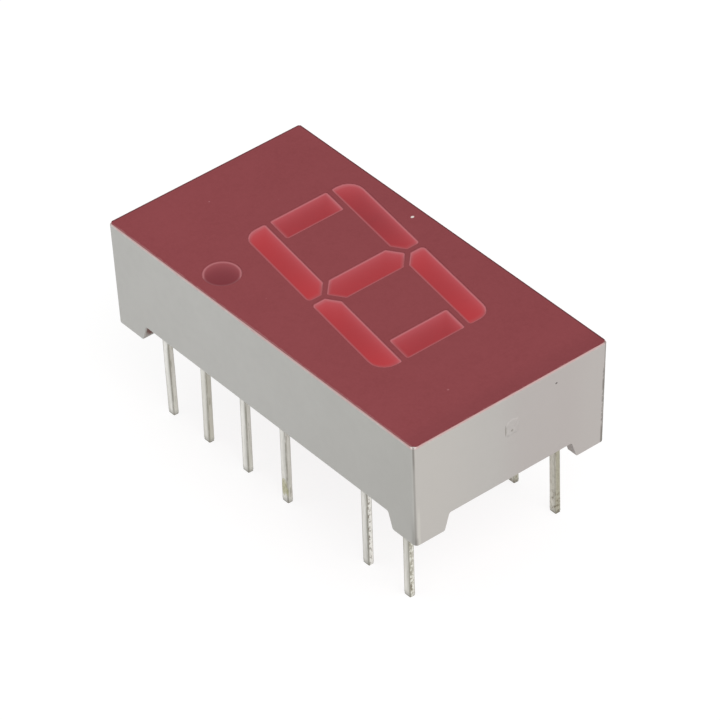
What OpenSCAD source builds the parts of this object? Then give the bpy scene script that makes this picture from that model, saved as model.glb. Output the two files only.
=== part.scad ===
// Seven segment display, single 10 mm digit with a decimal point, common anode.
// A moulded reflector housing stands face up on four corner feet. Eight light wells run
// through it, an LED chip sits at the bottom of each one on the stamped lead frame, and one
// casting of tinted epoxy fills the wells and the back. The leads end in two rows of pins.
// +Z out of the face, +Y to the top of the digit, origin under the middle at the pin tips.

/* [Case] */
// Length of the face, along Y
face_l = 19.0; // [18.9:0.05:19.3]
// Width of the face, along X
face_w = 9.95; // [9.9:0.05:10.2]
// Height of the moulding from the rim of its walls up to the bare face
case_h = 4.23; // [4.1:0.01:4.6]
// Height of the corner feet below the rim
foot_h = 0.80; // [0.7:0.02:1.1]
// Draft of the outer walls, in degrees
draft = 1.3; // [0.5:0.1:2]
// Thickness of the long walls at the rim
wall_t = 0.83; // [0.7:0.01:0.84]
// Thickness of the short walls at the rim
end_wall_t = 0.50; // [0.4:0.01:0.84]
// Depth of the light wells
well_depth = 3.03; // [2.8:0.01:3.2]
// Radius of the upright corners at the face
corner_r = 0.12; // [0.05:0.01:0.2]
// Radius of the upright corners at the feet
corner_foot_r = 0.18; // [0.1:0.01:0.4]
// Bevel around the face
face_bevel = 0.06; // [0.03:0.01:0.1]

/* [Feet] */
// Reach of a foot along the long wall, from the end of the case
foot_l = 1.52; // [1.2:0.02:1.6]
// Shift of the gap between the feet of a long wall, towards +Y
foot_shift = 0.12; // [0:0.01:0.15]
// Reach of a foot along the short wall, from the side of the case
foot_w = 1.46; // [1.2:0.02:1.5]
// Spread of each foot's sloping side, from its sole up to the rim
foot_flare = 0.24; // [0.2:0.02:0.5]
// Fillet where a foot meets the rim
foot_fillet = 0.12; // [0.1:0.02:0.3]
// Rounding of a foot's sloping side into its sole
sole_r = 0.10; // [0.05:0.01:0.15]

/* [Digit] */
// Height of the digit
digit_h = 10.30; // [10.2:0.02:10.4]
// Width of the digit, without its slant
digit_w = 5.70; // [5.6:0.02:5.8]
// Slant of the digit, in degrees
slant = 8.2; // [6:0.2:8.4]
// Width of the upright segments
upright_w = 1.10; // [1.0:0.02:1.2]
// Width of the level segments
bar_w = 1.30; // [1.2:0.02:1.4]
// Gap between neighbouring segments
seg_gap = 0.30; // [0.2:0.01:0.36]
// Reach of the pointed ends of the middle segment
bar_point = 0.535; // [0.5:0.005:0.6]
// Radius of the digit's four outer corners
outer_r = 0.70; // [0.4:0.05:0.8]
// Radius of every other corner of a segment
inner_r = 0.08; // [0.05:0.01:0.1]
// Place of the digit's centre along X
digit_x = -0.63; // [-0.7:0.01:-0.56]
// Place of the digit's centre along Y
digit_y = -0.02; // [-0.1:0.01:0]
// Diameter of the decimal point
dot_d = 1.54; // [1.5:0.01:1.6]
// Place of the decimal point along X
dot_x = 3.64; // [3.6:0.01:3.66]
// Place of the decimal point along Y
dot_y = -3.83; // [-4.0:0.01:-3.8]

/* [Face coat] */
// Thickness of the red coat
ink_t = 0.04; // [0.02:0.01:0.06]
// Bare plastic left around each segment
ink_rim = 0.04; // [0.03:0.01:0.08]
// Cut across the coat's chipped corner, at +X +Y
ink_chip = 0.15; // [0.1:0.01:0.4]
// Cut across the coat's other corners
ink_corner = 0.08; // [0.06:0.01:0.1]

/* [Leads] */
// Pitch of the pins
pin_pitch = 2.54; // [2.54]
// Distance between the two rows of pins
row_gap = 7.62; // [7.62]
// Length of the pins below the feet
pin_free = 4.20; // [3.0:0.05:4.5]
// Width of a pin
pin_w = 0.38; // [0.36:0.01:0.44]
// Thickness of the lead frame
lead_t = 0.22; // [0.2:0.01:0.26]
// Length of the slight taper at the cut end of a pin
tip_l = 0.10; // [0.05:0.01:0.3]
// Width of a stamped track inside the case
track_w = 0.45; // [0.4:0.01:0.46]
// Side of the pad under a chip
pad_w = 0.60; // [0.5:0.01:0.62]
// Sideways lean of the tip of pin 8
lean_8 = 0.20; // [0:0.02:0.24]

/* [Light sources] */
// Side of an LED chip
chip_w = 0.28; // [0.24:0.01:0.3]
// Height of an LED chip
chip_h = 0.24; // [0.2:0.01:0.28]
// Diameter of a bond wire
wire_d = 0.05; // [0.04:0.01:0.06]
// Rise of a bond wire's loop over its own span
wire_rise = 0.42; // [0.35:0.01:0.48]
// Distance from the rim up to the underside of the epoxy
epoxy_recess = 0.25; // [0.1:0.05:0.4]

/* [Hidden] */
$fn = 48;
arc_steps = 5;
wire_sides = 8;
sliver = 0.01;
// How far a cutting shape runs on past the piece it cuts.
overshoot = 1;
// The gap along a pointed end of the middle segment, as a share of the other gaps.
bevel_share = 0.92;

// Heights over the pin tips.
foot_z = pin_free;
rim_z = foot_z + foot_h;
face_z = rim_z + case_h;
top_z = face_z + ink_t;
frame_z = face_z - well_depth;
epoxy_z = rim_z + epoxy_recess;

row_x = row_gap / 2;
row_pins = 7;
half_l = face_l / 2;
half_w = face_w / 2;
function draft_at(z) = (face_z - z) * tan(draft);
cave_w = half_w - draft_at(rim_z) - wall_t;
cave_l = half_l - draft_at(rim_z) - end_wall_t;
cave_r = 0.4;

// The parts of the digit and the scale of each light well's foot against its mouth.
SEGMENTS = ["a", "b", "c", "d", "e", "f", "g", "dot"];
UPRIGHT_TAPER = [0.80, 0.46];
BAR_TAPER = [0.70, 0.70];
MIDDLE_TAPER = [0.55, 0.70];
DOT_TAPER = [0.70, 0.70];

// Pins on the left run down from 1 to 7, and on the right up from 8 to 14.
ANODE_PINS = [3, 14];
CATHODES = [
    [1, "a"], [2, "f"], [6, "none"], [7, "e"], [8, "d"],
    [9, "dot"], [10, "c"], [11, "g"], [13, "b"],
];

// Where each stamped track turns on its way from its pin to its pad.
function track_turns(pin) =
    pin == 1 ? [[-2.9, 7.30], [-0.55, 5.30]] :
    pin == 2 ? [[-3.15, 4.60], [-2.62, 3.60]] :
    pin == 7 ? [[-3.05, -7.05], [-2.75, -5.60], [-2.75, -3.90]] :
    pin == 8 ? [[2.7, -7.20], [-0.55, -5.75]] :
    pin == 9 ? [[3.35, -5.00], [3.68, -4.55]] :
    pin == 10 ? [[2.6, -2.54]] :
    pin == 11 ? [[2.4, 0.0]] :
    pin == 13 ? [[3.15, 4.60], [2.85, 3.00], [2.5, 2.62]] : [];

// The anode's track runs between its two pins and sends a finger to every chip.
ANODE_SPINE = [
    [-row_x, 2.54], [-3.42, 2.54], [-3.12, 1.72], [-1.9, 1.72],
    [-0.6, 2.6], [0.95, 4.2], [1.35, 4.95], [3.1, 7.55], [row_x, 7.62],
];
ANODE_BRANCH = [[-1.9, 1.9], [-1.9, -3.35], [-2.0, -3.85], [-2.0, -4.75]];
ANODE_FINGERS = [
    [[1.3, 4.85], [2.08, 4.15], [2.12, 3.30]],
    [[-1.9, -0.05], [-1.25, -0.05]],
    [[-1.9, -1.85], [-3.3, -1.85]],
    [[-1.95, -3.55], [2.55, -3.55], [3.27, -3.60]],
];
// Where the bond wire of each chip lands on the anode.
function landing(s) =
    s == "a" ? [0.85, 4.32] :
    s == "b" ? [2.11, 3.48] :
    s == "c" ? [1.22, -3.52] :
    s == "d" ? [-2.0, -4.50] :
    s == "e" ? [-3.10, -1.87] :
    s == "f" ? [-2.60, 1.74] :
    s == "g" ? [-1.40, -0.05] : [3.22, -3.60];

// ---- outlines ----

function unit(v) = v / norm(v);

// The corner at b between a and c, as an arc of radius r
function corner_arc(a, b, c, r) =
    let (
        u = unit(a - b),
        v = unit(c - b),
        half = acos(u * v) / 2,
        turn = 180 - 2 * half,
        centre = b + unit(u + v) * r / sin(half),
        from = b + u * r / tan(half) - centre,
        to = b + v * r / tan(half) - centre
    )
    [for (i = [0:arc_steps])
        let (t = turn * i / arc_steps)
        centre + (from * sin(turn - t) + to * sin(t)) / sin(turn)];

// A polygon with each corner rounded by its own radius
function rounded(points, radii) =
    let (n = len(points))
    [for (i = [0:n - 1])
        each corner_arc(points[(i + n - 1) % n], points[i], points[(i + 1) % n], radii[i])];

// The outline of a strip of width w along a path, with mitred turns
function strip(path, w) =
    let (
        n = len(path),
        side = [for (i = [0:n - 2]) let (d = unit(path[i + 1] - path[i])) [-d[1], d[0]]],
        mitre = [for (i = [0:n - 1])
            i == 0 ? side[0] :
            i == n - 1 ? side[n - 2] :
            (side[i - 1] + side[i]) / (1 + side[i - 1] * side[i])]
    )
    concat(
        [for (i = [0:n - 1]) path[i] + mitre[i] * w / 2],
        [for (i = [n - 1:-1:0]) path[i] - mitre[i] * w / 2]
    );

module rounded_box(w, l, r) {
    polygon(rounded([[-w, -l], [w, -l], [w, l], [-w, l]], [r, r, r, r]));
}

// ---- the digit ----

// A point of the upright digit, slanted and put in its place on the face
function on_face(p) = [digit_x + p[0] + p[1] * tan(slant), digit_y + p[1]];

half_bar = digit_w / 2 - upright_w - seg_gap;
upright_low = seg_gap / 2;
upright_mid = (digit_h / 2 + upright_low) / 2;
bevel_normal = unit([bar_w / 2, bar_point]);
bevel_reach = bevel_normal * [half_bar + bar_point, 0];

// The upper right segment, grown outwards by g: its foot runs along the middle segment's point
function upright(g) =
    let (
        inner = digit_w / 2 - upright_w - g,
        outer = digit_w / 2 + g,
        low = upright_low - g,
        reach = bevel_reach + seg_gap * bevel_share - g
    )
    [
        [inner, (reach - bevel_normal[0] * inner) / bevel_normal[1]],
        [(reach - bevel_normal[1] * low) / bevel_normal[0], low],
        [outer, low],
        [outer, digit_h / 2 + g],
        [inner, digit_h / 2 + g],
    ];

function top_bar(g) =
    let (
        low = digit_h / 2 - bar_w - g,
        high = digit_h / 2 + g,
        end = half_bar + g
    )
    [[-end, low], [end, low], [end, high], [-end, high]];

function middle_bar(g) =
    let (
        tip = (bevel_reach + g) / bevel_normal[0],
        high = bar_w / 2 + g,
        flat = (bevel_reach + g - bevel_normal[1] * high) / bevel_normal[0]
    )
    [[-tip, 0], [-flat, -high], [flat, -high], [tip, 0], [flat, high], [-flat, high]];

function flipped(points, fx, fy) = [for (p = points) [p[0] * fx, p[1] * fy]];

// The corners of a segment before its slant, and the radius of each corner
function corners(s, g) =
    s == "a" ? top_bar(g) :
    s == "d" ? flipped(top_bar(g), 1, -1) :
    s == "g" ? middle_bar(g) :
    s == "b" ? upright(g) :
    s == "c" ? flipped(upright(g), 1, -1) :
    s == "e" ? flipped(upright(g), -1, -1) : flipped(upright(g), -1, 1);

function radii(s, g) =
    let (small = inner_r + g)
    s == "a" || s == "d" ? [small, small, small, small] :
    s == "g" ? [small, small, small, small, small, small] :
    [small, small, 2 * inner_r + g, outer_r + g, small];

// Where a segment's light comes from: the middle of the segment
function light_at(s) =
    s == "dot" ? [dot_x, dot_y] :
    s == "g" ? on_face([0, 0]) :
    s == "a" ? on_face([0, digit_h / 2 - bar_w / 2]) :
    s == "d" ? on_face([0, bar_w / 2 - digit_h / 2]) :
    on_face([
        (s == "b" || s == "c" ? 1 : -1) * (digit_w - upright_w) / 2,
        (s == "b" || s == "f" ? 1 : -1) * upright_mid
    ]);

// Where the chip sits: the dot's is off centre, to leave room for its wire
function chip_at(s) = s == "dot" ? [dot_x + 0.05, dot_y - 0.10] : light_at(s);

function taper(s) =
    s == "dot" ? DOT_TAPER :
    s == "g" ? MIDDLE_TAPER :
    s == "a" || s == "d" ? BAR_TAPER : UPRIGHT_TAPER;

// A segment's outline about its own light, grown by g
module segment_outline(s, g) {
    if (s == "dot") {
        circle(d = dot_d + 2 * g);
    } else {
        slanted = [for (p = corners(s, g)) on_face(p) - light_at(s)];
        polygon(rounded(slanted, radii(s, g)));
    }
}

// The well narrows from the segment's outline at the face down to the chip
module light_well(s) {
    translate([light_at(s)[0], light_at(s)[1], face_z]) {
        mirror([0, 0, 1]) {
            if (s == "dot") {
                cylinder(h = well_depth, d1 = dot_d, d2 = dot_d * DOT_TAPER[0]);
            } else {
                linear_extrude(height = well_depth, scale = taper(s), slices = 1) {
                    segment_outline(s, 0);
                }
            }
        }
    }
}

// ---- reflector housing ----

module drafted_shell() {
    hull() {
        translate([0, 0, face_z - sliver]) {
            linear_extrude(sliver) {
                rounded_box(half_w - face_bevel, half_l - face_bevel, corner_r);
            }
        }
        translate([0, 0, face_z - face_bevel - sliver]) {
            linear_extrude(sliver) rounded_box(half_w, half_l, corner_r + face_bevel);
        }
        translate([0, 0, foot_z]) {
            linear_extrude(sliver) {
                rounded_box(
                    half_w - draft_at(foot_z), half_l - draft_at(foot_z), corner_foot_r
                );
            }
        }
    }
}

// The gap under a wall between two feet: narrow at the rim, wide at the soles. It stays open
// just under the soles, so that their edges can be rounded.
module foot_gap(sole, length) {
    below = foot_z - overshoot;
    rim = sole - foot_flare;
    beyond = sole + overshoot;
    level = foot_z - sliver / 2;
    rotate([90, 0, 0]) {
        linear_extrude(length, center = true) {
            polygon(rounded(
                [
                    [-beyond, below], [beyond, below], [beyond, level], [sole, level],
                    [rim, rim_z], [-rim, rim_z], [-sole, level], [-beyond, level],
                ],
                [sliver, sliver, sliver, sole_r, foot_fillet, foot_fillet, sole_r, sliver]
            ));
        }
    }
}

module reflector_housing() {
    color([0.70, 0.69, 0.67]) {
        difference() {
            drafted_shell();
            foot_gap(half_w - draft_at(foot_z) - foot_w, face_l + 2 * overshoot);
            translate([0, foot_shift, 0]) rotate([0, 0, 90]) {
                foot_gap(half_l - draft_at(foot_z) - foot_l, face_w + 2 * overshoot);
            }
            back_cavity(foot_z - overshoot);
            for (s = SEGMENTS) light_well(s);
        }
    }
}

// The hollow behind the wells, from a height up to the lead frame
module back_cavity(from_z) {
    translate([0, 0, from_z]) {
        linear_extrude(frame_z - from_z) rounded_box(cave_w, cave_l, cave_r);
    }
}

// ---- face coat ----

module face_coat() {
    w = half_w - face_bevel;
    l = half_l - face_bevel;
    c = ink_corner;
    chip = ink_chip;
    color([0.52, 0.25, 0.27]) {
        translate([0, 0, face_z]) {
            linear_extrude(ink_t) {
                difference() {
                    polygon([
                        [-w + c, -l], [w - c, -l], [w, -l + c], [w, l - chip],
                        [w - chip, l], [-w + c, l], [-w, l - c], [-w, -l + c],
                    ]);
                    for (s = SEGMENTS) translate(light_at(s)) segment_outline(s, ink_rim);
                }
            }
        }
    }
}

// ---- leads ----

function pin_side(pin) = pin <= row_pins ? -1 : 1;
function pin_y(pin) =
    pin_pitch * (pin <= row_pins ? (row_pins + 1) / 2 - pin : pin - (3 * row_pins + 1) / 2);

bend_in = 0.15;
bend_out = bend_in + lead_t;
bend_x = row_x + lead_t / 2 - bend_out;
tip_flat = 0.76;
shoulder_l = 0.30;

// The side of a formed pin: level at the top, a quarter bend, then straight down to its cut end
module pin_side_profile() {
    outer = row_x + lead_t / 2;
    inner = outer - lead_t;
    nip = lead_t * (1 - tip_flat) / 2;
    centre = [bend_x, frame_z - bend_out];
    polygon(concat(
        [[inner + nip, 0], [outer - nip, 0], [outer, tip_l]],
        [for (i = [0:arc_steps]) let (t = 90 * i / arc_steps)
            centre + bend_out * [cos(t), sin(t)]],
        [for (i = [arc_steps:-1:0]) let (t = 90 * i / arc_steps)
            centre + bend_in * [cos(t), sin(t)]],
        [[inner, tip_l]]
    ));
}

// The front of a pin: it leaves the case straight, then leans by its own amount to its end
module pin_front_profile(lean) {
    w = pin_w / 2;
    nip = w * (1 - tip_flat);
    drop = lean * (epoxy_z - tip_l) / epoxy_z;
    polygon([
        [lean - w + nip, 0], [lean + w - nip, 0], [drop + w, tip_l], [w, epoxy_z],
        [w, top_z], [-w, top_z], [-w, epoxy_z], [drop - w, tip_l],
    ]);
}

module formed_pin(pin) {
    translate([0, pin_y(pin), 0]) {
        mirror([pin_side(pin) < 0 ? 1 : 0, 0, 0]) {
            intersection() {
                rotate([90, 0, 0]) linear_extrude(1.5, center = true) pin_side_profile();
                rotate([90, 0, 90]) {
                    linear_extrude(row_gap) pin_front_profile(pin == 8 ? lean_8 : 0);
                }
            }
        }
    }
}

module stamped(outline) {
    translate([0, 0, frame_z - lead_t]) linear_extrude(lead_t) polygon(outline);
}

module pad(at, w) {
    r = w / 2;
    translate([at[0], at[1], 0]) stamped([[-r, -r], [r, -r], [r, r], [-r, r]]);
}

// A cathode lead: its pin, a short shoulder, its track and the pad under its chip
module cathode_lead(pin, s) {
    inward = [-pin_side(pin), 0];
    start = [pin_side(pin) * bend_x, pin_y(pin)];
    shoulder = start + inward * shoulder_l;
    color([0.78, 0.77, 0.72]) {
        formed_pin(pin);
        stamped(strip([start, shoulder], pin_w));
        if (s != "none") {
            neck = shoulder - inward * pin_w / 2;
            stamped(strip(concat([neck], track_turns(pin), [chip_at(s)]), track_w));
            pad(chip_at(s), s == "dot" ? track_w : pad_w);
        }
    }
}

module anode_lead() {
    color([0.78, 0.77, 0.72]) {
        for (pin = ANODE_PINS) formed_pin(pin);
        stamped(strip(ANODE_SPINE, track_w));
        stamped(strip(ANODE_BRANCH, track_w));
        for (finger = ANODE_FINGERS) stamped(strip(finger, track_w));
    }
}

// ---- chips and bond wires ----

module chip_block(s) {
    translate([chip_at(s)[0] - chip_w / 2, chip_at(s)[1] - chip_w / 2, frame_z]) {
        cube([chip_w, chip_w, chip_h]);
    }
}

module led_chip(s) {
    color([0.85, 0.55, 0.25]) chip_block(s);
}

// A loop of wire from the top of a chip down to the anode
module wire_loop(s) {
    run = landing(s) - chip_at(s);
    span = norm([norm(run), chip_h]);
    dip = atan2(chip_h, norm(run));
    rise = wire_rise * span;
    loop_r = (span * span / 4 + rise * rise) / (2 * rise);
    half_turn = asin(span / 2 / loop_r);
    lap = 6;
    translate([chip_at(s)[0], chip_at(s)[1], frame_z + chip_h]) {
        rotate([0, 0, atan2(run[1], run[0])]) {
            rotate([90, dip, 0]) {
                translate([span / 2, rise - loop_r, 0]) {
                    rotate([0, 0, 90 - half_turn - lap]) {
                        rotate_extrude(angle = 2 * (half_turn + lap)) {
                            translate([loop_r, 0]) circle(d = wire_d, $fn = wire_sides);
                        }
                    }
                }
            }
        }
    }
}

module bond_wire(s) {
    color([0.85, 0.68, 0.30]) {
        difference() {
            wire_loop(s);
            chip_block(s);
            translate([0, 0, frame_z - overshoot]) {
                linear_extrude(overshoot) square(face_l, center = true);
            }
        }
    }
}

// ---- epoxy ----

module epoxy_fill() {
    color([0.70, 0.22, 0.25]) {
        difference() {
            union() {
                back_cavity(epoxy_z);
                for (s = SEGMENTS) light_well(s);
            }
            anode_lead();
            for (c = CATHODES) cathode_lead(c[0], c[1]);
            for (s = SEGMENTS) {
                chip_block(s);
                wire_loop(s);
            }
        }
    }
}

reflector_housing();
face_coat();
epoxy_fill();
anode_lead();
for (c = CATHODES) {
    cathode_lead(c[0], c[1]);
}
for (s = SEGMENTS) {
    led_chip(s);
    bond_wire(s);
}
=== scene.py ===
# %% [markdown]
# # A seven segment display
# The real object is a grey moulded case with a red printed face. Eight windows in the face
# are filled with red resin, and two rows of tinned pins come out underneath.
# The solids come ready made, so this lesson gives them their finishes, adds the thin things
# that a solid model leaves out, and lights the result like a small studio shot.
# All lengths are in metres, so a millimetre is written as 1 * MM.

import math

import bpy
import numpy as np
from mathutils import Matrix, Vector


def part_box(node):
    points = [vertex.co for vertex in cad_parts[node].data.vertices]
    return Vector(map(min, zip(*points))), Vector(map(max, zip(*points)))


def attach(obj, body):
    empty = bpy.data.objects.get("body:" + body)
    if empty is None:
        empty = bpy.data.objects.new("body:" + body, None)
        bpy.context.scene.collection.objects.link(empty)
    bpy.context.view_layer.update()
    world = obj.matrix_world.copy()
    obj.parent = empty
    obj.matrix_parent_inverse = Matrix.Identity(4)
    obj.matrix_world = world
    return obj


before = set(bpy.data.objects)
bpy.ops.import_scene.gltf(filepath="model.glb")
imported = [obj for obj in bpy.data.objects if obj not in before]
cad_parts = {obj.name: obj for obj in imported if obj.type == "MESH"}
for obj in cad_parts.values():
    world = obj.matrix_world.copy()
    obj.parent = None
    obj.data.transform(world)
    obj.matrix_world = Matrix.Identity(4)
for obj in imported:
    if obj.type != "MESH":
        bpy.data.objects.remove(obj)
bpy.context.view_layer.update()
MM = 0.001

# %% [markdown]
# The heights that matter are read from the solids, so that every thin layer added later lies
# exactly on the piece that carries it.

# %% Heights and sizes
def corners_of(solid):
    """All the points of a solid, as rows of x, y and z."""
    co = np.empty(len(solid.data.vertices) * 3, np.float32)
    solid.data.vertices.foreach_get("co", co)
    return co.reshape(-1, 3).astype(float)


case_low, case_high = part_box("reflector_housing")
coat_low, coat_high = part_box("face_coat")
resin_low, resin_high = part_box("epoxy_fill")
FACE_Z = case_high.z
RESIN_Z = resin_low.z
HALF_W = case_high.x
HALF_L = case_high.y
print("face at", round(FACE_Z / MM, 2), "mm, resin underside at", round(RESIN_Z / MM, 2), "mm")

# %% [markdown]
# ## The camera
# A small part shows best through a long lens from a little way off, which keeps its edges
# nearly parallel. A short lens close by would spread them apart. The camera stands beyond
# the corner at +X +Y and looks down on the face. A Track To constraint could aim it, but
# to_track_quat turns its -Z axis along the line of sight once and for all.

# %% Camera
def put(name, data):
    """A new object in the scene, for a mesh, a camera or a lamp."""
    made = bpy.data.objects.new(name, data)
    bpy.context.scene.collection.objects.link(made)
    return made


STAND = Vector((107.06, 134.90, 144.79)) * MM
AIM = Vector((0.524, 0.848, 6.0)) * MM
ROLL = math.radians(-1.99)

camera_data = bpy.data.cameras.new("camera")
camera_data.sensor_width = 36.0
camera_data.lens = 277.0
camera_data.clip_start = 10 * MM
camera = put("camera", camera_data)
aimed = (AIM - STAND).to_track_quat("-Z", "Y").to_matrix().to_4x4()
camera.matrix_world = Matrix.Translation(STAND) @ aimed @ Matrix.Rotation(ROLL, 4, "Z")
bpy.context.scene.camera = camera
print("camera stands", round((AIM - STAND).length / MM), "mm from the part")

# %% [markdown]
# ## Building a material
# A material is a small network of nodes. It could be wired by hand in the Shader Editor, but
# in code it comes out the same each time. A few helpers keep the network readable: `node`
# makes one node and fills or connects its inputs, `calc` and `times` do sums, `fade` and
# `ramp` turn a distance into a mask between 0 and 1, and `blend` mixes two colours by a mask.
# A node knows the tree it grows in (its id_data), so the sums find their tree by themselves.

# %% Node helpers
def socket_of(value):
    """A node stands for its first output."""
    return value.outputs[0] if isinstance(value, bpy.types.Node) else value


def fill(made, inputs):
    """Gives a node its inputs, by name or number: a number, a colour, or another node or
    socket to connect."""
    for name, value in inputs.items():
        value = socket_of(value)
        if isinstance(value, bpy.types.NodeSocket):
            made.id_data.links.new(value, made.inputs[name])
        else:
            made.inputs[name].default_value = value
    return made


def node(tree, kind, inputs=None, **settings):
    """Makes a shader node with its inputs and settings."""
    made = tree.nodes.new("ShaderNode" + kind)
    for name, value in settings.items():
        setattr(made, name, value)
    return fill(made, inputs or {})


def tree_of(*values):
    """The tree of the first node or socket among the values."""
    return next(v.id_data for v in values if isinstance(v, (bpy.types.Node, bpy.types.NodeSocket)))


def calc(operation, a, b=0.0, clamp=False):
    """One sum: a (operation) b."""
    return node(tree_of(a, b), "Math", {0: a, 1: b}, operation=operation, use_clamp=clamp)


def times(*factors):
    """The factors multiplied together."""
    product = factors[0]
    for factor in factors[1:]:
        product = calc("MULTIPLY", product, factor)
    return product


def ramp(value, start, end, **settings):
    """0 at start, 1 at end, and a straight line between."""
    limits = {"Value": value, "From Min": start, "From Max": end}
    return node(tree_of(value), "MapRange", limits, **settings)


def fade(value, start, end):
    """0 at start, 1 at end, and a smooth step between. start may be the higher one."""
    return ramp(value, start, end, interpolation_type="SMOOTHSTEP")


def blend(mask, below, above):
    """The colour below where mask is 0 and the colour above where it is 1."""
    inputs = {0: mask, 6: below, 7: above}
    return node(tree_of(mask), "Mix", inputs, data_type="RGBA").outputs[2]


def rgb(r, g, b):
    return (r, g, b, 1.0)


def empty_tree(owner):
    """The node tree of a new material or world, cleared."""
    owner.use_nodes = True
    owner.node_tree.nodes.clear()
    return owner.node_tree


print("helpers for nodes: node, calc, times, ramp, fade, blend")

# %% [markdown]
# ## Effects that several materials share
# Plastic, print, resin and tin all have cloudy variation, small specks and single stains. An
# effect like this could be rebuilt in every material. It is built once, as a node group with
# named inputs, so that each material only places it with its own values.

# %% Group helper
def new_group(name, inputs, output):
    """A node group with the given float or vector inputs and one float output."""
    tree = bpy.data.node_groups.new(name, "ShaderNodeTree")
    for label, kind in inputs:
        tree.interface.new_socket(label, in_out="INPUT", socket_type="NodeSocket" + kind)
    tree.interface.new_socket(output, in_out="OUTPUT", socket_type="NodeSocketFloat")
    entry = tree.nodes.new("NodeGroupInput")
    leave = tree.nodes.new("NodeGroupOutput")
    return tree, entry.outputs, leave.inputs[output]


def use(tree, group, inputs):
    """Places a node group in a material."""
    made = tree.nodes.new("ShaderNodeGroup")
    made.node_tree = group
    return fill(made, inputs).outputs[0]


print("helpers for groups: new_group, use")

# %% [markdown]
# Cloudiness is a broad noise with a finer one laid over it. Stretch draws it out along one
# axis, which gives the lengthwise streaks of drawn and dipped metal.

# %% Clouds
CLOUDS, given, result = new_group(
    "clouds", [("Vector", "Vector"), ("Stretch", "Vector"), ("Scale", "Float"), ("Fine", "Float")],
    "Value",
)
drawn = node(CLOUDS, "VectorMath", {0: given["Vector"], 1: given["Stretch"]}, operation="MULTIPLY")
broad = node(CLOUDS, "TexNoise", {"Vector": drawn, "Scale": given["Scale"], "Detail": 3.0})
fine_scale = calc("MULTIPLY", given["Scale"], 6.0)
fine = node(CLOUDS, "TexNoise", {"Vector": drawn, "Scale": fine_scale, "Detail": 2.0})
both = node(CLOUDS, "Mix", {0: given["Fine"], 2: broad, 3: fine}, data_type="FLOAT")
CLOUDS.links.new(both.outputs[0], result)
print("group", CLOUDS.name, "made")

# %% [markdown]
# Specks are dust and pits. A noise cut off at a high value would give ragged blots, so they
# are the round cells of a Voronoi pattern. Each cell has a random colour, and only cells
# whose colour is low enough show, so Share says how many of them carry a speck.

# %% Specks
SPECKS, given, result = new_group(
    "specks", [("Vector", "Vector"), ("Scale", "Float"), ("Size", "Float"), ("Share", "Float")],
    "Mask",
)
cells = node(SPECKS, "TexVoronoi", {"Vector": given["Vector"], "Scale": given["Scale"]})
chance = node(SPECKS, "SeparateColor", {0: cells.outputs["Color"]})
chosen = calc("LESS_THAN", chance.outputs[0], given["Share"])
sized = calc("MULTIPLY", given["Size"], chance.outputs[1])
inside = calc("SUBTRACT", 1.0, fade(cells.outputs["Distance"], 0.0, sized))
SPECKS.links.new(calc("MULTIPLY", chosen, inside).outputs[0], result)
print("group", SPECKS.name, "made")

# %% [markdown]
# A stain is a soft blot round one place. A noise moves its edge in and out, because a blot
# with a clean round edge looks drawn.

# %% Stain
STAIN, given, result = new_group(
    "stain",
    [("Vector", "Vector"), ("Place", "Vector"), ("Reach", "Vector"), ("Ragged", "Float")],
    "Mask",
)
offset = node(STAIN, "VectorMath", {0: given["Vector"], 1: given["Place"]}, operation="SUBTRACT")
scaled = node(STAIN, "VectorMath", {0: offset, 1: given["Reach"]}, operation="DIVIDE")
away = node(STAIN, "VectorMath", {0: scaled}, operation="LENGTH").outputs["Value"]
wander = node(STAIN, "TexNoise", {"Vector": scaled, "Scale": 1.6, "Detail": 3.0})
swing = calc("MULTIPLY", calc("SUBTRACT", wander, 0.5), given["Ragged"])
blot = calc("SUBTRACT", 1.0, fade(calc("ADD", away, swing), 0.55, 1.0))
STAIN.links.new(blot.outputs[0], result)
print("group", STAIN.name, "made")

# %% [markdown]
# Every material here starts the same way: a Principled shader, and the point's own place on
# the object (Object coordinates), which needs no unwrapping and stays fixed to the part. Then
# a finish is built up as a painter works: a ground colour, and over it one thin pigment after
# another, each through its own mask.

# %% Start of a material
PLAIN = (1.0, 1.0, 1.0)


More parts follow.
